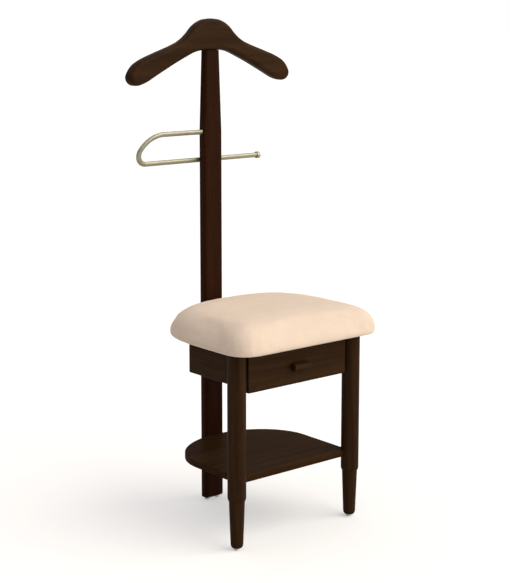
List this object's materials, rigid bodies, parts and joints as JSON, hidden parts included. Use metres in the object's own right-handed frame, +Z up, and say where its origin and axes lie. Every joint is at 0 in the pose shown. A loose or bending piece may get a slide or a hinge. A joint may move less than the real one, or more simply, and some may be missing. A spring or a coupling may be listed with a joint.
{
  "type": "valet stand",
  "caption": "Wooden valet stand: padded D-shaped seat over a small sliding drawer, low shelf, tall rear post with a bent metal trouser bar and a shaped coat hanger on top.",
  "frame": {"origin": "on the floor, under the centre of the whole object's box", "axes": "+Z up; the seat and drawer face -Y, the post stands at +Y; +X is the right-hand side seen from the front"},
  "size_m": [0.4538, 0.3886, 1.12],
  "materials": {
    "stained_wood": "dark espresso stain under satin lacquer",
    "bare_wood": "sanded, unfinished",
    "plywood": "sanded plywood",
    "seat_fabric": "cream faux suede",
    "brushed_nickel": "satin nickel plate",
    "zinc_steel": "bright zinc",
    "glide_plastic": "moulded"
  },
  "bodies": {
    "frame": {"back_rail": "stained_wood", "bar_end_cap": "brushed_nickel", "bar_screw": "zinc_steel", "barrel_nut_high": "zinc_steel", "barrel_nut_low": "zinc_steel", "corner_block_left": "bare_wood", "corner_block_right": "bare_wood", "drawer_stop": "bare_wood", "front_leg_left": "stained_wood", "front_leg_right": "stained_wood", "front_top_rail": "stained_wood", "glide_leg_left": "glide_plastic", "glide_leg_right": "glide_plastic", "glide_post_left": "glide_plastic", "glide_post_right": "glide_plastic", "hanger": "stained_wood", "hanger_screw": "zinc_steel", "post": "stained_wood", "post_bolt_high": "zinc_steel", "post_bolt_low": "zinc_steel", "rail_dowel_left_high": "bare_wood", "rail_dowel_left_low": "bare_wood", "rail_dowel_right_high": "bare_wood", "rail_dowel_right_low": "bare_wood", "rear_stretcher": "stained_wood", "runner_left": "bare_wood", "runner_right": "bare_wood", "runner_screw_left_1": "zinc_steel", "runner_screw_left_2": "zinc_steel", "runner_screw_right_1": "zinc_steel", "runner_screw_right_2": "zinc_steel", "seat_board": "plywood", "seat_cushion": "seat_fabric", "seat_screw_front_left": "zinc_steel", "seat_screw_front_right": "zinc_steel", "seat_screw_rear_left": "zinc_steel", "seat_screw_rear_right": "zinc_steel", "shelf": "stained_wood", "shelf_dowel_left": "bare_wood", "shelf_dowel_right": "bare_wood", "shelf_screw": "zinc_steel", "side_rail_left": "stained_wood", "side_rail_right": "stained_wood", "stop_screw": "zinc_steel", "stretcher_screw_high": "zinc_steel", "stretcher_screw_low": "zinc_steel", "trouser_bar": "brushed_nickel"},
    "drawer": {"drawer_back": "bare_wood", "drawer_bottom": "plywood", "drawer_front": "stained_wood", "drawer_pull": "stained_wood", "drawer_side_left": "bare_wood", "drawer_side_right": "bare_wood", "pull_screw_left": "zinc_steel", "pull_screw_right": "zinc_steel"}
  },
  "joints": [
    {"name": "drawer_slide", "type": "slide", "parent": "frame", "child": "drawer", "axis": [0, -1, 0], "range_m": [0, 0.109]}
  ]
}
